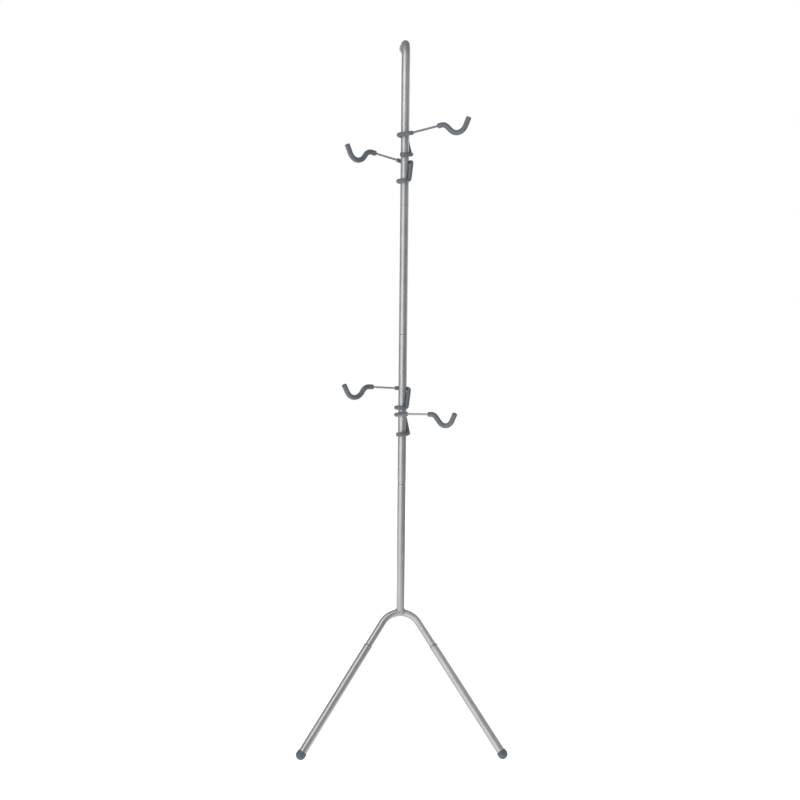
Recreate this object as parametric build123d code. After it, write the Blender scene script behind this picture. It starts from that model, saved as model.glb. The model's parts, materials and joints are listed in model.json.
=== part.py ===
from build123d import *
import os
from math import sin, cos, radians, hypot

# Two-bike storage stand that leans against a wall: an inverted V base, a
# three-piece tubular mast with a cane top, and four bent-wire arms that grip
# the mast and end in padded cradles.
# Millimetres. +X is the stand's right as seen from the front, +Y points to
# the wall, +Z is up, and the floor is at Z = 0.

# Main tubing
TUBE_OD = 25.4
TUBE_WALL = 1.2
NECK_OD = 22.8          # drawn-down ends and the arch slide into the next tube
NECK_LENGTH = 58.0
SHOULDER_LENGTH = 3.0

# Base
BALL_RADIUS = 15.0      # rubber foot, measured at its rounded end
FOOT_HALF_SPREAD = 302.0
FOOT_Y = -256.44        # puts the middle of the stand's depth at Y = 0
LEG_PLANE_LEAN = 40.3   # degrees, plane of the two legs from vertical
LEG_PLANE_HEIGHT = 503.6    # from the feet to where the leg axes would cross
ARCH_BEND_RADIUS = 66.0
ARCH_EXPOSED = 199.5    # from the crossing point to the rim of the leg tube
ARCH_PLUG = 60.0        # hidden length of arch inside the leg tube
RIM_LIP = 0.7
RIM_LIP_LENGTH = 2.2
FOOT_SKIRT = 9.0
FOOT_SKIRT_RADIUS = 14.6
LEG_END_GAP = 2.0
WELD_SIZE = 3.2
WELD_DROP = 1.5         # how far the bead runs below the middle of the arch
EDGE_ROUND = 1.0        # on the open rims of the rubber and plastic caps

# Mast, as distances along its axis from the middle of the arch tube
MAST_LEAN = 3.0         # degrees from vertical, towards the wall
STEM_TOP = 418.6
MIDDLE_TOP = 889.3
MAST_CORNER = 1767.0
CANE_BEND_RADIUS = 57.0
CANE_REACH = 143.0      # from the mast axis to the end of the tube
BUMPER_RADIUS = 15.6
BUMPER_LENGTH = 27.0
BUMPER_COVER = 20.0
BUMPER_ROUND = 3.5

# Arms
ROD_RADIUS = 3.175
SLEEVE_GAP = 0.1
GRIP_RADIUS = 6.25
CRADLE_RADIUS = 7.7
MAST_CLEARANCE = 0.4
ROD_RECESS = 1.8        # rod ends lie this far inside the sleeve ends
SPINE_DROP = 54.7       # from the upper turn down to the lower turn
SPINE_TWIST = 42.0      # degrees that the spine swings round the mast on its way
COIL_PITCH = 0.020      # descent of a turn for each degree
COIL_STEP = 30.0        # half of the turn made at each corner of a coil
COIL_TAIL = 25.0        # half of the turn made at the two ends of the lower coil
COIL_TIGHTNESS = 0.95   # bend radius over the path radius
KNEE_INSET = 4.0        # slight bend where the arm leaves the coil
KNEE_BEND_RADIUS = 30.0
SPINE_BEND_RADIUS = 7.6
HUMP_BEND_RADIUS = 26.0
CRADLE_BEND_RADIUS = 34.0

GRIP_PATH_RADIUS = TUBE_OD / 2 + MAST_CLEARANCE + GRIP_RADIUS
COIL_BEND_RADIUS = COIL_TIGHTNESS * GRIP_PATH_RADIUS
TUBE_BORE = TUBE_OD / 2 - TUBE_WALL
NECK_BORE = NECK_OD / 2 - TUBE_WALL

LEG_LEAN_SIN = sin(radians(LEG_PLANE_LEAN))
LEG_LEAN_COS = cos(radians(LEG_PLANE_LEAN))
CROSSING = Vector(0, FOOT_Y + LEG_PLANE_HEIGHT * LEG_LEAN_SIN,
                  BALL_RADIUS + LEG_PLANE_HEIGHT * LEG_LEAN_COS)
SPLAY_SIN = FOOT_HALF_SPREAD / hypot(FOOT_HALF_SPREAD, LEG_PLANE_HEIGHT)
ARCH_DROP = ARCH_BEND_RADIUS * (1 / SPLAY_SIN - 1)
ARCH_TOP = CROSSING - Vector(0, LEG_LEAN_SIN, LEG_LEAN_COS) * ARCH_DROP

# Frame of the mast: Z runs up the mast axis, -Y faces the front
MAST = Location(ARCH_TOP, (-MAST_LEAN, 0, 0))


class ArmSpec:
    """Where one arm sits on the mast and how its wire is bent."""

    def __init__(self, side, height, swing, tilt, lead, wrap,
                 grip_start, sleeve_start, hump, valley, tip):
        self.side = side
        self.height = height
        self.swing = swing
        self.tilt = tilt
        self.lead = lead
        self.wrap = wrap
        self.grip_start = grip_start
        self.sleeve_start = sleeve_start
        self.hump = hump
        self.valley = valley
        self.tip = tip


def right_arm(height, swing, tilt, lead):
    """Arm whose wire crosses the front of the mast before it coils."""
    return ArmSpec(1, height, swing, tilt, lead, wrap=150.0,
                   grip_start=43.0, sleeve_start=140.0,
                   hump=(162.5, 0.0), valley=(211.0, -55.0), tip=(249.0, 2.5))


def left_arm(height, swing, tilt, lead):
    """Arm whose wire passes behind the mast."""
    return ArmSpec(-1, height, swing, tilt, lead, wrap=140.0,
                   grip_start=12.0, sleeve_start=107.0,
                   hump=(137.0, 0.0), valley=(173.5, -64.0), tip=(219.5, 1.5))


# Height up the mast, swing from straight out to the side, rise of the arm, and
# how far its coil sits above the line of the arm
ARMS = {
    "upper_right": right_arm(height=1490.0, swing=39.6, tilt=7.9, lead=4.5),
    "upper_left": left_arm(height=1417.5, swing=42.5, tilt=7.9, lead=-2.0),
    "lower_left": left_arm(height=719.5, swing=40.0, tilt=5.9, lead=1.0),
    "lower_right": right_arm(height=642.5, swing=49.0, tilt=5.2, lead=-4.0),
}


def polar(angle, radius, height):
    """Point in the mast frame, the angle measured from +X towards the wall."""
    return Vector(radius * cos(radians(angle)), radius * sin(radians(angle)), height)


def disc(path, radius):
    """Round section at the start of a path."""
    return Plane(path @ 0, z_dir=path % 0) * Circle(radius)


def swept_bar(path, radius):
    """Solid round bar along a path."""
    return sweep(disc(path, radius), path=path)


def swept_tube(path, radius, bore):
    """Round tube along a path, its bore cut a little past both ends."""
    core_path = Wire([Line(path @ 0 - path % 0, path @ 0), *path.edges(),
                      Line(path @ 1, path @ 1 + path % 1)])
    core = swept_bar(core_path, bore)
    return swept_bar(path, radius) - core


def turned(profile):
    """Solid of revolution about Z from (radius, height) points."""
    points = [(radius, 0, height) for radius, height in profile]
    return revolve(make_face(Polyline(*points, close=True)), Axis.Z)


def necked_tube(bottom, top):
    """Straight mast tube whose upper end is drawn down to enter the next one."""
    shoulder = top - SHOULDER_LENGTH
    neck_top = top + NECK_LENGTH
    return turned([
        (TUBE_OD / 2, bottom),
        (TUBE_OD / 2, shoulder),
        (NECK_OD / 2, top),
        (NECK_OD / 2, neck_top),
        (NECK_BORE, neck_top),
        (NECK_BORE, top),
        (TUBE_BORE, shoulder),
        (TUBE_BORE, bottom),
    ])


def leg_direction(side):
    """Unit vector down the leg on one side (-1 left, 1 right)."""
    foot = Vector(side * FOOT_HALF_SPREAD, FOOT_Y, BALL_RADIUS)
    return (foot - CROSSING).normalized()


def leg_frame(side):
    """Frame with Z down the leg axis and its origin at the crossing point."""
    return Plane(CROSSING, x_dir=(0, LEG_LEAN_COS, -LEG_LEAN_SIN),
                 z_dir=leg_direction(side))


def leg_axis_length():
    """Distance from the crossing point to the middle of the ball foot."""
    return hypot(FOOT_HALF_SPREAD, LEG_PLANE_HEIGHT)


def arch_path():
    """Centre line of the arch, from inside one leg to inside the other."""
    reach = ARCH_EXPOSED + ARCH_PLUG
    left = CROSSING + leg_direction(-1) * reach
    right = CROSSING + leg_direction(1) * reach
    return FilletPolyline(left, CROSSING, right, radius=ARCH_BEND_RADIUS)


def base_arch():
    return swept_tube(arch_path(), NECK_OD / 2, NECK_BORE)


def stem_blank():
    """Solid outline of the stem, down to the middle of the arch."""
    return MAST * extrude(Circle(TUBE_OD / 2), STEM_TOP)


def stem_tube():
    """Welded stem, coped to sit on the arch, with a drawn-down top."""
    tube = MAST * necked_tube(0, STEM_TOP)
    return tube - swept_bar(arch_path(), NECK_OD / 2)


def stem_weld():
    """Weld bead all round the foot of the stem."""
    collar = MAST * Pos(0, 0, -WELD_DROP) * extrude(
        Circle(TUBE_OD / 2 + WELD_SIZE), TUBE_OD + WELD_DROP)
    saddle = swept_bar(arch_path(), NECK_OD / 2 + WELD_SIZE)
    bead = collar & saddle
    return bead - swept_bar(arch_path(), NECK_OD / 2) - stem_blank()


def leg_tube(side):
    """Lower leg, open at the top where it slides over the arch."""
    end = leg_axis_length() - LEG_END_GAP
    return leg_frame(side).location * turned([
        (TUBE_BORE, ARCH_EXPOSED),
        (TUBE_OD / 2 + RIM_LIP, ARCH_EXPOSED),
        (TUBE_OD / 2 + RIM_LIP, ARCH_EXPOSED + RIM_LIP_LENGTH),
        (TUBE_OD / 2, ARCH_EXPOSED + 2 * RIM_LIP_LENGTH),
        (TUBE_OD / 2, end),
        (TUBE_BORE, end),
    ])


def foot_cap(side):
    """Rubber ball foot that pushes over the end of a leg."""
    centre = leg_axis_length()
    ball = Pos(0, 0, centre) * Sphere(BALL_RADIUS)
    skirt = Pos(0, 0, centre - FOOT_SKIRT) * extrude(Circle(FOOT_SKIRT_RADIUS), FOOT_SKIRT)
    rim = skirt.edges().sort_by(Axis.Z)[0]
    skirt = fillet(rim, EDGE_ROUND)
    lower = Pos(0, 0, centre - BALL_RADIUS) * Box(
        4 * BALL_RADIUS, 4 * BALL_RADIUS, 2 * BALL_RADIUS)
    solid = (ball - lower) + skirt
    socket = Pos(0, 0, centre - LEG_END_GAP - 2 * BALL_RADIUS) * extrude(
        Circle(TUBE_OD / 2 + SLEEVE_GAP / 2), 2 * BALL_RADIUS)
    return leg_frame(side).location * (solid - socket)


def mast_middle_tube():
    return MAST * necked_tube(STEM_TOP, MIDDLE_TOP)


def cane_corner():
    """Where the mast axis meets the level line of the cane end."""
    return MAST * Pos(0, 0, MAST_CORNER)


def mast_top_tube():
    """Upper mast with the bend that reaches back to the wall."""
    foot = (MAST * Pos(0, 0, MIDDLE_TOP)).position
    corner = cane_corner().position
    end = corner + Vector(0, CANE_REACH, 0)
    path = FilletPolyline(foot, corner, end, radius=CANE_BEND_RADIUS)
    return swept_tube(path, TUBE_OD / 2, TUBE_BORE)


def wall_bumper():
    """Cap on the cane end, flat where it rests on the wall."""
    corner = cane_corner().position
    start = corner + Vector(0, CANE_REACH - BUMPER_COVER, 0)
    frame = Plane(start, x_dir=(1, 0, 0), z_dir=(0, 1, 0))
    cap = extrude(Circle(BUMPER_RADIUS), BUMPER_LENGTH)
    cap = fillet(cap.edges().sort_by(Axis.Z)[-1], BUMPER_ROUND)
    cap = fillet(cap.edges().sort_by(Axis.Z)[0], EDGE_ROUND)
    cap -= extrude(Circle(TUBE_OD / 2 + SLEEVE_GAP / 2), BUMPER_COVER)
    return frame.location * cap


def arm_point(spec, along, rise):
    """Point of the arm's own plane, in the mast frame."""
    swing = radians(spec.swing)
    out = Vector(spec.side * cos(swing), -sin(swing), 0)
    start = polar(spec.side * (-90 - spec.swing), GRIP_PATH_RADIUS, spec.height)
    tilt = radians(spec.tilt)
    level = along * cos(tilt) - rise * sin(tilt)
    return start + out * level + Vector(0, 0, along * sin(tilt) + rise * cos(tilt))


def coil_corner(angle, offset, height):
    """Corner that stands off so that the run to it is tangent to the coil."""
    return polar(angle, GRIP_PATH_RADIUS / cos(radians(offset)), height)


def coil_corners(spec):
    """Corners of the wire round the mast, from the arm to its lower end."""
    start = spec.side * (-90 - spec.swing)
    upper = spec.height + spec.lead
    spine_top = upper - COIL_PITCH * spec.wrap
    foot = start - spec.wrap - SPINE_TWIST
    lower = spine_top - SPINE_DROP
    points = []
    for turned_by in (COIL_STEP, 3 * COIL_STEP):
        points.append(coil_corner(start - turned_by, COIL_STEP, upper - COIL_PITCH * turned_by))
    points.append(coil_corner(start - spec.wrap, spec.wrap - 4 * COIL_STEP, spine_top))
    points.append(coil_corner(foot, COIL_TAIL, lower))
    for turned_by in (COIL_TAIL + COIL_STEP, COIL_TAIL + 3 * COIL_STEP):
        points.append(coil_corner(foot - turned_by, COIL_STEP, lower - COIL_PITCH * turned_by))
    last_turn = 2 * COIL_TAIL + 4 * COIL_STEP
    points.append(coil_corner(foot - last_turn, COIL_TAIL, lower - COIL_PITCH * last_turn))
    radii = [COIL_BEND_RADIUS, COIL_BEND_RADIUS, SPINE_BEND_RADIUS,
             SPINE_BEND_RADIUS, COIL_BEND_RADIUS, COIL_BEND_RADIUS]
    return points, radii


def knee(spec):
    """Where the arm bends slightly as it leaves its coil."""
    return arm_point(spec, spec.grip_start - KNEE_INSET, 0)


def pulled_back(end, neighbour):
    """An end point moved towards its neighbour by the rod recess."""
    return end + (neighbour - end).normalized() * ROD_RECESS


def arm_rod(spec):
    """Steel wire of one arm, from the cradle tip to the coil's lower end."""
    coil, coil_radii = coil_corners(spec)
    tip = arm_point(spec, *spec.tip)
    valley = arm_point(spec, *spec.valley)
    hump = arm_point(spec, *spec.hump)
    tail = pulled_back(coil[-1], coil[-2])
    points = [pulled_back(tip, valley), valley, hump, knee(spec), *coil[:-1], tail]
    radii = [CRADLE_BEND_RADIUS, HUMP_BEND_RADIUS, KNEE_BEND_RADIUS, *coil_radii]
    return MAST * swept_bar(FilletPolyline(*points, radius=radii), ROD_RADIUS)


def cradle_sleeve(spec):
    """Padded sleeve over the cradle of one arm."""
    points = [arm_point(spec, *spec.tip), arm_point(spec, *spec.valley),
              arm_point(spec, *spec.hump), arm_point(spec, spec.sleeve_start, 0)]
    path = FilletPolyline(*points, radius=[CRADLE_BEND_RADIUS, HUMP_BEND_RADIUS])
    return MAST * swept_tube(path, CRADLE_RADIUS, ROD_RADIUS + SLEEVE_GAP)


def grip_sleeve(spec):
    """Vinyl sleeve over the part of the wire that coils round the mast."""
    coil, coil_radii = coil_corners(spec)
    points = [arm_point(spec, spec.grip_start, 0), knee(spec), *coil]
    path = FilletPolyline(*points, radius=[KNEE_BEND_RADIUS, *coil_radii])
    return MAST * swept_tube(path, GRIP_RADIUS, ROD_RADIUS + SLEEVE_GAP)


def frame_parts():
    """Every piece of the fixed frame."""
    return {
        "base_arch": base_arch(),
        "stem_tube": stem_tube(),
        "stem_weld": stem_weld(),
        "leg_tube_left": leg_tube(-1),
        "leg_tube_right": leg_tube(1),
        "foot_cap_left": foot_cap(-1),
        "foot_cap_right": foot_cap(1),
        "mast_middle_tube": mast_middle_tube(),
        "mast_top_tube": mast_top_tube(),
        "wall_bumper": wall_bumper(),
    }


def arm_parts():
    """Rod and sleeves of every arm."""
    parts = {}
    for name, spec in ARMS.items():
        parts[f"{name}_rod"] = arm_rod(spec)
        parts[f"{name}_cradle_sleeve"] = cradle_sleeve(spec)
        parts[f"{name}_grip_sleeve"] = grip_sleeve(spec)
    return parts


os.makedirs("parts", exist_ok=True)
for node, shape in {**frame_parts(), **arm_parts()}.items():
    export_step(shape, f"parts/{node}.step")
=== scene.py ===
import json
import math
from collections import namedtuple

import bpy
from mathutils import Matrix, Vector, noise


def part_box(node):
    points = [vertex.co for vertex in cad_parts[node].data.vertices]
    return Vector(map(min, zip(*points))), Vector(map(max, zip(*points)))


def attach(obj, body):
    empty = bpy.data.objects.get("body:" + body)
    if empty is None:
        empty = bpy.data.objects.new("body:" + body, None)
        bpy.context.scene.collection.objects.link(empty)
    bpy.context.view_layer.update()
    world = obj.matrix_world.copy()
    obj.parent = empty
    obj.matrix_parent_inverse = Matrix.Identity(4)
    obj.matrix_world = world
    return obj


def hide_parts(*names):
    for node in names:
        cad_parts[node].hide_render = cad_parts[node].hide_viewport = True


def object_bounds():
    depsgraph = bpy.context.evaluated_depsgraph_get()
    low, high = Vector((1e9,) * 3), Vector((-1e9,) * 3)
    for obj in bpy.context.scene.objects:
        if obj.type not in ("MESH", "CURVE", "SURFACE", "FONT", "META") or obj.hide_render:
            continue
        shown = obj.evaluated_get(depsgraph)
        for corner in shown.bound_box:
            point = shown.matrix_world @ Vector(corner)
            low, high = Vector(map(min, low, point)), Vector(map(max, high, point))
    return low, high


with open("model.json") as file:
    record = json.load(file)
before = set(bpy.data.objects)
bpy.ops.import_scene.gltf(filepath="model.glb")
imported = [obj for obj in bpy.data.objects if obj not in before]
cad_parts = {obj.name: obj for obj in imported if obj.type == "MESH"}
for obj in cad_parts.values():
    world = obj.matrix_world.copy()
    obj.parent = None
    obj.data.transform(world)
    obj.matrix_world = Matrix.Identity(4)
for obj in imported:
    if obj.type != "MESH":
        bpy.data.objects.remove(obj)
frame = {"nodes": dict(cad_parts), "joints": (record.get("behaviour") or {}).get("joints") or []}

CAD_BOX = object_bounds()
NODES = frame["nodes"]

# Every arm turns about the mast, so any joint's axis is the mast's.
MAST_AXIS = Vector(frame["joints"][0]["axis"]).normalized()

# Metres, degrees and watts. +X is right, +Y is to the wall and +Z is up.
MM = 0.001

# Noise: features a metre, layers of finer detail, and how strong those layers are
Grain = namedtuple("Grain", "scale detail rough", defaults=(0.5,))

# Bump: strength from 0 to 1, and height
Relief = namedtuple("Relief", "strength depth")

# Soft lamp: place from the stand's middle, width and height, and power; a mirrored
# one shows only in glossy surfaces
Softbox = namedtuple("Softbox", "place size power mirrored", defaults=(False,))


def grey(level):
    """Neutral colour of this level."""
    return (level, level, level)


# ---------------------------------------------------------------- settings

# Camera: place from the middle of the stand's front at floor level, angles, lens and
# sensor in camera millimetres, and how far it sees
CAMERA_OFFSET = Vector((-0.121, -3.043, 1.621))
CAMERA_YAW = 1.924
CAMERA_PITCH = 9.834
CAMERA_ROLL = 0.67
CAMERA_LENS = 49.5
CAMERA_REACH = 100.0
SENSOR_WIDTH = 36.0

# What the camera sees behind the stand
BACKDROP = 1.0

# Floor, and the unseen card that lights the stand from below
FLOOR_RADIUS = 3.2
FLOOR_GLOW = 0.90
FLOOR_COLOURS = (grey(0.88), grey(0.90))
FLOOR_CLOUDS = Grain(3.0, 2.0)
CARD_RADIUS = 2.1
CARD_GLOW = 1.00
CARD_SHIFT = Vector((-0.90, -0.60, -0.01))
DISC_SIDES = 128

# Grey room that lights the stand, brighter on one side; the span is how much a
# direction faces that side, from -1 to 1
ROOM_SIDE = Vector((-0.80, 0.05, -0.35))
ROOM_LEVELS = (0.35, 0.56)
ROOM_SPAN = (-0.75, 1.0)

SOFTBOXES = {
    "key": Softbox((-2.15, -2.62, -0.08), (4.0, 2.5), 38.0),
    "top": Softbox((-1.0, -1.1, 1.85), (2.0, 2.0), 21.0, mirrored=True),
    "fill": Softbox((1.6, -1.6, 1.9), (2.2, 2.2), 4.0),
    "rim": Softbox((2.1, 1.5, 0.8), (2.6, 2.6), 13.0),
}

# Stretches of a noise's values: most of them, and the middle ones, which gives a
# harder pattern; a flake's values fill the whole stretch
MOST = (0.3, 0.7)
MIDDLE = (0.35, 0.65)
WHOLE = (0.0, 1.0)

# Silver powder coat
PAINT_COLOURS = ((0.455, 0.462, 0.470), (0.520, 0.526, 0.532))
PAINT_ROUGH = (0.35, 0.41)
PAINT_CLOUDS = Grain(26.0, 1.0)
PAINT_TEXTURE = Grain(330.0, 1.0)
PAINT_RELIEF = Relief(0.07, 0.06 * MM)
FLAKE_SCALE = 2600.0
FLAKE_COLOUR = (0.70, 0.71, 0.72)
FLAKE_SHARE = 0.20
FLAKE_RELIEF = Relief(0.05, 0.02 * MM)

# Paint rubbed by the rims of the legs and by the arms' coils, as distances from the
# middle of the tube
RIM_RUB = 13 * MM
COIL_RUB = 15 * MM
COIL_INSET = 8 * MM     # from a grip's ends to the middle of its turns
RUB_FADE = 10 * MM
RUB_PATCHES = Grain(300.0, 3.0)
RUB_AMOUNT = (0.1, 0.8)
RUB_COLOUR = grey(0.30)
RUB_SHARE = 0.32
RUB_ROUGHER = 0.06

# Paint that lost its shine where the cane is bent, rougher there, and painted shade:
# its colour is darkened over the bend to hold back the highlight there
BEND_REACH = 35 * MM
BEND_FADE = 60 * MM
BEND_SHADE_COLOUR = grey(0.30)
BEND_SHADE_SHARE = 0.45
BEND_ROUGHER = 0.20

# Painted shade in the open edge of a slip joint: a dark line where the gap between
# the tubes falls in shade, as half widths
LEG_SEAM = 1.3 * MM
MAST_SEAM = 0.5 * MM
SEAM_FADE = 0.5 * MM
SEAM_PATCHES = Grain(260.0, 4.0)
SEAM_AMOUNT = (0.55, 0.95)
SEAM_SHADE_COLOUR = grey(0.07)

# Depth of the ring of vertices that counts as a tube's rim
RIM_DEPTH = 0.5 * MM

# Coated weld bead
WELD_COLOURS = ((0.42, 0.42, 0.43), (0.56, 0.56, 0.57))
WELD_ROUGH = (0.34, 0.50)
WELD_CLOUDS = Grain(240.0, 5.0)
WELD_TEXTURE = Grain(900.0, 3.0)
WELD_RELIEF = Relief(0.35, 0.08 * MM)
BEAD_VOXEL = 0.55 * MM
BEAD_SMOOTHING = 4
BEAD_RIPPLES = 34
BEAD_RIPPLE_HEIGHT = 0.28 * MM
BEAD_UNEVEN = 0.35 * MM
BEAD_UNEVEN_SCALE = 90.0

# Zinc plate, as grey levels, and for each arm's wire a factor that darkens those
# levels: painted shade standing in for how much lamp light each arm's wire catches
ZINC_LEVELS = (0.66, 0.74)
ZINC_ROUGH = (0.58, 0.50)
ZINC_PATCHES = Grain(70.0, 5.0, 0.6)
ZINC_TEXTURE = Grain(1600.0, 3.0)
ZINC_RELIEF = Relief(0.12, 0.03 * MM)
SPANGLE_SCALE = 900.0
SPANGLE_LEVEL = 0.83
SPANGLE_SHARE = 0.30
WIRE_PAINTED_SHADE = {
    "upper_right": 0.40,
    "upper_left": 0.84,
    "lower_left": 0.90,
    "lower_right": 0.80,
}

# Vinyl sleeves
VINYL_COLOURS = ((0.168, 0.188, 0.213), (0.202, 0.222, 0.248))
VINYL_ROUGH = (0.33, 0.42)
VINYL_CLOUDS = Grain(45.0, 5.0, 0.6)
VINYL_RELIEF = Relief(0.25, 0.20 * MM)
PEBBLE = Grain(1500.0, 3.0, 0.6)
PEBBLE_SPAN = (0.45, 0.75)
PEBBLE_COLOUR = (0.275, 0.298, 0.325)
PEBBLE_SHARE = 0.35
PEBBLE_RELIEF = Relief(0.30, 0.10 * MM)

# Rubber feet
RUBBER_COLOURS = ((0.120, 0.148, 0.188), (0.165, 0.198, 0.244))
RUBBER_ROUGH = (0.52, 0.66)
RUBBER_CLOUDS = Grain(120.0, 5.0, 0.6)
RUBBER_PORES = Grain(1900.0, 2.0)
PORE_RELIEF = Relief(0.30, 0.08 * MM)
DUST_HEIGHT = 10 * MM
DUST_AMOUNT = (0.1, 0.9)
DUST_COLOUR = grey(0.27)
DUST_SHARE = 0.5

# Plastic cap that meets the wall
BUMPER_COLOURS = ((0.60, 0.60, 0.59), (0.68, 0.68, 0.67))
BUMPER_ROUGH = (0.40, 0.50)
BUMPER_CLOUDS = Grain(90.0, 4.0)
BUMPER_TEXTURE = Grain(1300.0, 2.0)
BUMPER_RELIEF = Relief(0.22, 0.08 * MM)
SCUFFS = Grain(380.0, 6.0, 0.7)
SCUFF_SPAN = (0.5, 0.66)
SCUFF_DEPTH = 1.5 * MM
SCUFF_COLOUR = (0.38, 0.38, 0.37)
SCUFF_SHARE = 0.55


# ---------------------------------------------------------------- nodes

def new_surface(name, **sockets):
    """Material whose shader has these constants on its own sockets."""
    material = bpy.data.materials.new(name)
    material.use_nodes = True
    tree = material.node_tree
    shader = tree.nodes["Principled BSDF"]
    for socket, value in sockets.items():
        shader.inputs[socket.replace("_", " ")].default_value = value
    return material, tree, shader


def position(tree):
    """Place on the object, which stays with a piece as it moves."""
    return tree.nodes.new("ShaderNodeTexCoord").outputs["Object"]


def coordinate(tree, axis):
    """One coordinate of the place on the object."""
    place = tree.nodes.new("ShaderNodeSeparateXYZ")
    tree.links.new(position(tree), place.inputs["Vector"])
    return place.outputs[axis]


def noise_of(tree, grain):
    """Noise between 0 and 1."""
    texture = tree.nodes.new("ShaderNodeTexNoise")
    texture.inputs["Scale"].default_value = grain.scale
    texture.inputs["Detail"].default_value = grain.detail
    texture.inputs["Roughness"].default_value = grain.rough
    tree.links.new(position(tree), texture.inputs["Vector"])
    return texture.outputs["Fac"]


def flakes(tree, scale):
    """A random value for each small cell of the surface."""
    texture = tree.nodes.new("ShaderNodeTexVoronoi")
    texture.inputs["Scale"].default_value = scale
    tree.links.new(position(tree), texture.inputs["Vector"])
    channel = tree.nodes.new("ShaderNodeSeparateColor")
    tree.links.new(texture.outputs["Color"], channel.inputs["Color"])
    return channel.outputs["Red"]


def spread(tree, value, low, high, span=MOST):
    """Value taken from this span of its own to low..high, and held there."""
    node = tree.nodes.new("ShaderNodeMapRange")
    node.inputs["From Min"].default_value = span[0]
    node.inputs["From Max"].default_value = span[1]
    node.inputs["To Min"].default_value = low
    node.inputs["To Max"].default_value = high
    tree.links.new(value, node.inputs["Value"])
    return node.outputs["Result"]


def combine(tree, operation, first, second):
    """Two values in a Math node; either may be a plain number."""
    node = tree.nodes.new("ShaderNodeMath")
    node.operation = operation
    for socket, value in zip(node.inputs, (first, second)):
        if isinstance(value, (int, float)):
            socket.default_value = value
        else:
            tree.links.new(value, socket)
    return node.outputs["Value"]


def mix_colours(tree, factor, first, second):
    """Colour between two, each a colour triple or another socket."""
    node = tree.nodes.new("ShaderNodeMix")
    node.data_type = "RGBA"
    tree.links.new(factor, node.inputs["Factor"])
    for socket, value in ((node.inputs[6], first), (node.inputs[7], second)):
        if isinstance(value, tuple):
            socket.default_value = (*value, 1.0)
        else:
            tree.links.new(value, socket)
    return node.outputs[2]


def tint(tree, colour, mask, share, other):
    """Colour that turns by a share, a number or a socket, to another in a mask."""
    return mix_colours(tree, combine(tree, "MULTIPLY", mask, share), colour, other)


def roughen(tree, rough, mask, more):
    """Roughness that is this much more in a mask."""
    return combine(tree, "ADD", rough, combine(tree, "MULTIPLY", mask, more))


def raise_surface(tree, shader, layers):
    """Bump the shader with (height, relief) layers, coarse first."""
    below = None
    for height, relief in layers:
        node = tree.nodes.new("ShaderNodeBump")
        node.inputs["Strength"].default_value = relief.strength
        node.inputs["Distance"].default_value = relief.depth
        tree.links.new(height, node.inputs["Height"])
        if below is not None:
            tree.links.new(below, node.inputs["Normal"])
        below = node.outputs["Normal"]
    tree.links.new(below, shader.inputs["Normal"])


def finish_surface(tree, shader, colour, rough, layers):
    """Link a shader's colour, roughness and bump."""
    tree.links.new(colour, shader.inputs["Base Color"])
    tree.links.new(rough, shader.inputs["Roughness"])
    raise_surface(tree, shader, layers)


def near(tree, point, reach, fade):
    """One close to a point, falling to zero between reach and reach + fade."""
    node = tree.nodes.new("ShaderNodeVectorMath")
    node.operation = "DISTANCE"
    node.inputs[1].default_value = point
    tree.links.new(position(tree), node.inputs[0])
    return spread(tree, node.outputs["Value"], 1.0, 0.0, (reach, reach + fade))


def across(tree, point, axis, half_width, fade):
    """One in a thin slice through a point, square to the axis."""
    offset = tree.nodes.new("ShaderNodeVectorMath")
    offset.operation = "SUBTRACT"
    offset.inputs[1].default_value = point
    tree.links.new(position(tree), offset.inputs[0])
    along = tree.nodes.new("ShaderNodeVectorMath")
    along.operation = "DOT_PRODUCT"
    along.inputs[1].default_value = axis
    tree.links.new(offset.outputs["Vector"], along.inputs[0])
    distance = combine(tree, "ABSOLUTE", along.outputs["Value"], 0.0)
    return spread(tree, distance, 1.0, 0.0, (half_width, half_width + fade))


# ---------------------------------------------------------------- materials

def silver_paint(name, marks=(), seams=(), bends=()):
    """Satin powder coat with fine flake.

    It is rubbed at the marks, each a point and a reach, rougher and darkened by
    painted shade at the bends, each a point, and darkened by painted shade in the gap
    at the seams, each a point, an axis and a half width.
    """
    material, tree, shader = new_surface(
        name, Metallic=0.86, Coat_Weight=0.22, Coat_Roughness=0.16)
    clouds = noise_of(tree, PAINT_CLOUDS)
    flake = flakes(tree, FLAKE_SCALE)
    colour = mix_colours(tree, spread(tree, clouds, 0.0, 1.0), *PAINT_COLOURS)
    colour = mix_colours(tree, spread(tree, flake, 0.0, FLAKE_SHARE, WHOLE),
                         colour, FLAKE_COLOUR)
    rough = spread(tree, clouds, *PAINT_ROUGH)
    for point, reach in marks:
        patches = spread(tree, noise_of(tree, RUB_PATCHES), *RUB_AMOUNT, MIDDLE)
        rub = combine(tree, "MULTIPLY", near(tree, point, reach, RUB_FADE), patches)
        colour = tint(tree, colour, rub, RUB_SHARE, RUB_COLOUR)
        rough = roughen(tree, rough, rub, RUB_ROUGHER)
    # Painted shade at the bend: the colour darkens there, and the paint is rougher
    for point in bends:
        dull_and_shaded = near(tree, point, BEND_REACH, BEND_FADE)
        colour = tint(tree, colour, dull_and_shaded, BEND_SHADE_SHARE, BEND_SHADE_COLOUR)
        rough = roughen(tree, rough, dull_and_shaded, BEND_ROUGHER)
    # Painted shade: a dark line across the tube in the gap of a slip joint
    for point, axis, half_width in seams:
        line = across(tree, point, axis, half_width, SEAM_FADE)
        patches = spread(tree, noise_of(tree, SEAM_PATCHES), *SEAM_AMOUNT, MIDDLE)
        colour = tint(tree, colour, line, patches, SEAM_SHADE_COLOUR)
    finish_surface(tree, shader, colour, rough, [
        (noise_of(tree, PAINT_TEXTURE), PAINT_RELIEF), (flake, FLAKE_RELIEF)])
    return material


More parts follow.
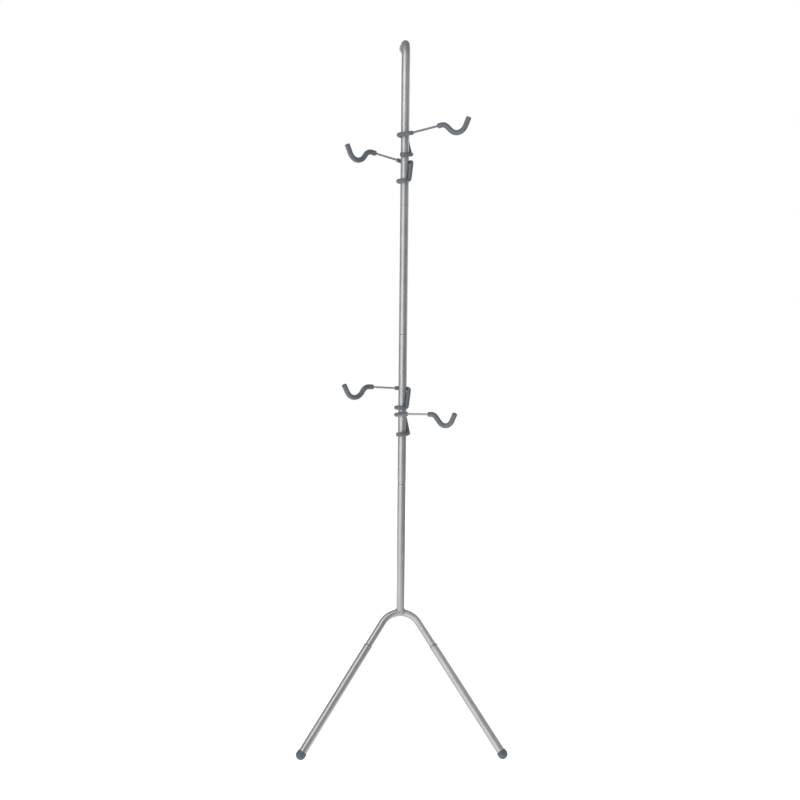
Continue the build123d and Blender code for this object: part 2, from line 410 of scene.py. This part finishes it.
def weld_metal():
    """Coated weld bead, a little duller than the tubes."""
    material, tree, shader = new_surface("weld_bead", Metallic=0.80)
    clouds = noise_of(tree, WELD_CLOUDS)
    colour = mix_colours(tree, spread(tree, clouds, 0.0, 1.0), *WELD_COLOURS)
    finish_surface(tree, shader, colour, spread(tree, clouds, *WELD_ROUGH),
                   [(noise_of(tree, WELD_TEXTURE), WELD_RELIEF)])
    return material


def zinc_wire(name, painted_shade):
    """Zinc-plated wire with duller patches, darkened by that arm's factor of painted shade."""
    material, tree, shader = new_surface(name, Metallic=1.0)
    patches = noise_of(tree, ZINC_PATCHES)
    spangle = flakes(tree, SPANGLE_SCALE)
    # Painted shade: both zinc levels and the spangle are scaled by the arm's factor
    dark, light = (grey(level * painted_shade) for level in ZINC_LEVELS)
    colour = mix_colours(tree, spread(tree, patches, 0.0, 1.0, MIDDLE), dark, light)
    colour = mix_colours(tree, spread(tree, spangle, 0.0, SPANGLE_SHARE, WHOLE),
                         colour, grey(SPANGLE_LEVEL * painted_shade))
    finish_surface(tree, shader, colour, spread(tree, patches, *ZINC_ROUGH),
                   [(noise_of(tree, ZINC_TEXTURE), ZINC_RELIEF)])
    return material


def padded_vinyl():
    """Dipped grey-blue vinyl, matte, with a fine pebble."""
    material, tree, shader = new_surface(
        "sleeve_vinyl", Specular_IOR_Level=0.42, Sheen_Weight=0.10,
        Sheen_Roughness=0.45)
    clouds = noise_of(tree, VINYL_CLOUDS)
    pebble = noise_of(tree, PEBBLE)
    colour = mix_colours(tree, spread(tree, clouds, 0.0, 1.0), *VINYL_COLOURS)
    colour = mix_colours(tree, spread(tree, pebble, 0.0, PEBBLE_SHARE, PEBBLE_SPAN),
                         colour, PEBBLE_COLOUR)
    finish_surface(tree, shader, colour, spread(tree, clouds, *VINYL_ROUGH),
                   [(clouds, VINYL_RELIEF), (pebble, PEBBLE_RELIEF)])
    return material


def foot_rubber():
    """Moulded dark grey rubber, dusty towards the floor."""
    material, tree, shader = new_surface("foot_rubber", Specular_IOR_Level=0.35)
    clouds = noise_of(tree, RUBBER_CLOUDS)
    low = spread(tree, coordinate(tree, "Z"), 1.0, 0.0, (0.0, DUST_HEIGHT))
    dust = combine(tree, "MULTIPLY", low, spread(tree, clouds, *DUST_AMOUNT, MIDDLE))
    colour = mix_colours(tree, spread(tree, clouds, 0.0, 1.0), *RUBBER_COLOURS)
    colour = tint(tree, colour, dust, DUST_SHARE, DUST_COLOUR)
    finish_surface(tree, shader, colour, spread(tree, clouds, *RUBBER_ROUGH),
                   [(noise_of(tree, RUBBER_PORES), PORE_RELIEF)])
    return material


def bumper_plastic():
    """Pale grey moulded cap, scuffed on the face that meets the wall."""
    material, tree, shader = new_surface("bumper_plastic", Specular_IOR_Level=0.45)
    clouds = noise_of(tree, BUMPER_CLOUDS)
    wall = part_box("wall_bumper")[1].y
    face = spread(tree, coordinate(tree, "Y"), 0.0, 1.0, (wall - SCUFF_DEPTH, wall))
    marks = spread(tree, noise_of(tree, SCUFFS), 0.0, 1.0, SCUFF_SPAN)
    scuff = combine(tree, "MULTIPLY", face, marks)
    colour = mix_colours(tree, spread(tree, clouds, 0.0, 1.0), *BUMPER_COLOURS)
    colour = tint(tree, colour, scuff, SCUFF_SHARE, SCUFF_COLOUR)
    finish_surface(tree, shader, colour, spread(tree, clouds, *BUMPER_ROUGH),
                   [(noise_of(tree, BUMPER_TEXTURE), BUMPER_RELIEF)])
    return material


def glowing(name, strength, **sockets):
    """Surface that shines white, for the stage.

    Cycles doesn't aim rays at it, which would leave grain on the metal.
    """
    material, tree, shader = new_surface(
        name, Emission_Color=(*grey(1.0), 1.0), Emission_Strength=strength, **sockets)
    material.cycles.emission_sampling = "NONE"
    return material, tree, shader


# ---------------------------------------------------------------- CAD nodes

def coat(node, material):
    """Give a CAD node this material in its only slot."""
    part = NODES[node]
    if not part.material_slots:
        part.data.materials.append(material)
    for slot in part.material_slots:
        slot.material = material


def middle_of(node):
    """Centre of a node's box."""
    low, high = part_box(node)
    return (low + high) / 2


def open_end(node, axis):
    """Middle of the ring of vertices that lies furthest along an axis."""
    points = [vertex.co for vertex in NODES[node].data.vertices]
    furthest = max(point.dot(axis) for point in points)
    ring = [point for point in points if furthest - point.dot(axis) < RIM_DEPTH]
    return sum(ring, Vector()) / len(ring)


def mast_point(height):
    """Point of the mast's axis at this height above the floor."""
    foot = middle_of("stem_tube")
    return foot + MAST_AXIS * ((height - foot.z) / MAST_AXIS.z)


def finish_base():
    """Silver paint on the legs and arch, rubbed where they meet, with painted shade in the gap
    between them.
    """
    seams = []
    for side in ("left", "right"):
        node = "leg_tube_" + side
        axis = (middle_of(node) - middle_of("foot_cap_" + side)).normalized()
        rim = open_end(node, axis)
        seam = (rim, axis, LEG_SEAM)
        coat(node, silver_paint("paint_" + node, [(rim, RIM_RUB)], [seam]))
        seams.append(seam)
    coat("base_arch", silver_paint("paint_base_arch", seams=seams))


def finish_mast():
    """Silver paint on the mast, rubbed where the arms hold it, with painted shade in the gaps at
    the slip joints and at the bend, where it is also rougher.
    """
    coat("stem_tube", silver_paint("paint_stem_tube"))
    coils = []
    for name in NODES:
        if name.endswith("grip_sleeve"):
            low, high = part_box(name)
            coils += [low.z + COIL_INSET, high.z - COIL_INSET]
    for node in ("mast_middle_tube", "mast_top_tube"):
        low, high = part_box(node)
        marks = [(mast_point(height), COIL_RUB)
                 for height in coils if low.z < height < high.z]
        # Painted shade in the gap at the open foot of each mast tube
        seams = [(open_end(node, -MAST_AXIS), MAST_AXIS, MAST_SEAM)]
        bends = [mast_point(high.z)] if node == "mast_top_tube" else []
        coat(node, silver_paint("paint_" + node, marks, seams, bends))


def finish_arms():
    """Zinc on the wires and vinyl on their sleeves."""
    vinyl = padded_vinyl()
    for name in NODES:
        if name.endswith("_rod"):
            arm = name.removesuffix("_rod")
            coat(name, zinc_wire("zinc_wire_" + arm, WIRE_PAINTED_SHADE[arm]))
        if name.endswith("_sleeve"):
            coat(name, vinyl)


def finish_caps():
    """Rubber on the feet and plastic on the wall cap."""
    rubber = foot_rubber()
    coat("foot_cap_left", rubber)
    coat("foot_cap_right", rubber)
    coat("wall_bumper", bumper_plastic())


# ---------------------------------------------------------------- weld bead

def rippled_bead():
    """The weld with the stacked ripples that its passes leave."""
    mesh = NODES["stem_weld"].data.copy()
    mesh.name = "weld_bead"
    bead = bpy.data.objects.new("weld_bead", mesh)
    bpy.context.scene.collection.objects.link(bead)
    remesh = bead.modifiers.new("voxels", "REMESH")
    remesh.mode = "VOXEL"
    remesh.voxel_size = BEAD_VOXEL
    remesh.use_smooth_shade = True
    smooth = bead.modifiers.new("smooth", "SMOOTH")
    smooth.iterations = BEAD_SMOOTHING
    made = bpy.data.meshes.new_from_object(
        bead.evaluated_get(bpy.context.evaluated_depsgraph_get()))
    bead.modifiers.clear()
    bead.data = made
    middle = middle_of("stem_weld")
    for vertex in made.vertices:
        offset = vertex.co - middle
        outward = offset - MAST_AXIS * offset.dot(MAST_AXIS)
        angle = math.atan2(outward.y, outward.x)
        ripple = abs(math.sin(angle * BEAD_RIPPLES / 2))
        uneven = noise.noise(vertex.co * BEAD_UNEVEN_SCALE)
        lift = (ripple - 0.5) * BEAD_RIPPLE_HEIGHT + uneven * BEAD_UNEVEN
        vertex.co += vertex.normal * lift
    made.materials.clear()
    made.materials.append(weld_metal())
    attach(bead, "stand")
    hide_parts("stem_weld")


# ---------------------------------------------------------------- studio

def disc(name, centre, radius, material):
    """Flat round piece of the stage."""
    steps = [2 * math.pi * i / DISC_SIDES for i in range(DISC_SIDES)]
    ring = [centre + radius * Vector((math.cos(a), math.sin(a), 0.0)) for a in steps]
    mesh = bpy.data.meshes.new(name)
    mesh.from_pydata(ring, [], [list(range(DISC_SIDES))])
    mesh.materials.append(material)
    piece = bpy.data.objects.new(name, mesh)
    bpy.context.scene.collection.objects.link(piece)
    return piece


def make_floor():
    """Plain pale floor that doesn't light the stand, its rim lost in the white."""
    pale, tree, shader = glowing(
        "pale_floor", FLOOR_GLOW, Specular_IOR_Level=0.1, Roughness=0.9)
    tree.links.new(mix_colours(tree, noise_of(tree, FLOOR_CLOUDS), *FLOOR_COLOURS),
                   shader.inputs["Base Color"])
    floor = disc("floor", Vector((0.0, 0.0, CAD_BOX[0].z)), FLOOR_RADIUS, pale)
    floor.visible_glossy = False
    floor.visible_diffuse = False


def make_card():
    """Card under the floor that lights the stand from below, unseen."""
    glow, _, _ = glowing("bounce_card", CARD_GLOW, Specular_IOR_Level=0.0,
                         Roughness=1.0, Base_Color=(*grey(0.0), 1.0))
    ground = Vector((0.0, 0.0, CAD_BOX[0].z))
    card = disc("bounce_card", ground + CARD_SHIFT, CARD_RADIUS, glow)
    card.visible_camera = False


def make_room():
    """White behind the stand; the light that reaches it is soft and one-sided."""
    world = bpy.data.worlds.new("studio")
    bpy.context.scene.world = world
    world.use_nodes = True
    tree = world.node_tree
    tree.nodes.clear()
    direction = tree.nodes.new("ShaderNodeTexCoord").outputs["Generated"]
    side = tree.nodes.new("ShaderNodeVectorMath")
    side.operation = "DOT_PRODUCT"
    side.inputs[1].default_value = ROOM_SIDE.normalized()
    tree.links.new(direction, side.inputs[0])
    level = spread(tree, side.outputs["Value"], *ROOM_LEVELS, ROOM_SPAN)
    room = tree.nodes.new("ShaderNodeBackground")
    tree.links.new(level, room.inputs["Strength"])
    white = tree.nodes.new("ShaderNodeBackground")
    white.inputs["Color"].default_value = (*grey(1.0), 1.0)
    white.inputs["Strength"].default_value = BACKDROP
    seen = tree.nodes.new("ShaderNodeLightPath").outputs["Is Camera Ray"]
    mix = tree.nodes.new("ShaderNodeMixShader")
    tree.links.new(seen, mix.inputs["Fac"])
    tree.links.new(room.outputs["Background"], mix.inputs[1])
    tree.links.new(white.outputs["Background"], mix.inputs[2])
    out = tree.nodes.new("ShaderNodeOutputWorld")
    tree.links.new(mix.outputs["Shader"], out.inputs["Surface"])


def make_lights():
    """Softboxes that point at the stand's middle."""
    low, high = CAD_BOX
    middle = (low + high) / 2
    for name, box in SOFTBOXES.items():
        data = bpy.data.lights.new(name, "AREA")
        data.shape = "RECTANGLE"
        data.size, data.size_y = box.size
        data.energy = box.power
        light = bpy.data.objects.new(name, data)
        light.location = middle + Vector(box.place)
        aim = middle - light.location
        light.rotation_euler = aim.to_track_quat("-Z", "Y").to_euler()
        light.visible_diffuse = not box.mirrored
        bpy.context.scene.collection.objects.link(light)


def make_camera():
    """Camera where the photograph was taken from."""
    low, high = CAD_BOX
    yaw, pitch, roll = map(math.radians, (CAMERA_YAW, CAMERA_PITCH, CAMERA_ROLL))
    ahead = Vector((math.sin(yaw) * math.cos(pitch), math.cos(yaw) * math.cos(pitch),
                    -math.sin(pitch)))
    level = Vector((math.cos(yaw), -math.sin(yaw), 0.0))
    upright = level.cross(ahead)
    right = level * math.cos(roll) + upright * math.sin(roll)
    up = upright * math.cos(roll) - level * math.sin(roll)
    data = bpy.data.cameras.new("camera")
    data.lens = CAMERA_LENS
    data.sensor_width = SENSOR_WIDTH
    data.clip_end = CAMERA_REACH
    camera = bpy.data.objects.new("camera", data)
    bpy.context.scene.collection.objects.link(camera)
    turn = Matrix((right, up, -ahead)).transposed()
    place = Vector(((low.x + high.x) / 2, low.y, low.z)) + CAMERA_OFFSET
    camera.matrix_world = Matrix.Translation(place) @ turn.to_4x4()
    bpy.context.scene.camera = camera


finish_base()
finish_mast()
finish_arms()
finish_caps()
rippled_bead()
make_floor()
make_card()
make_room()
make_lights()
make_camera()
bpy.context.scene.view_settings.view_transform = "Standard"
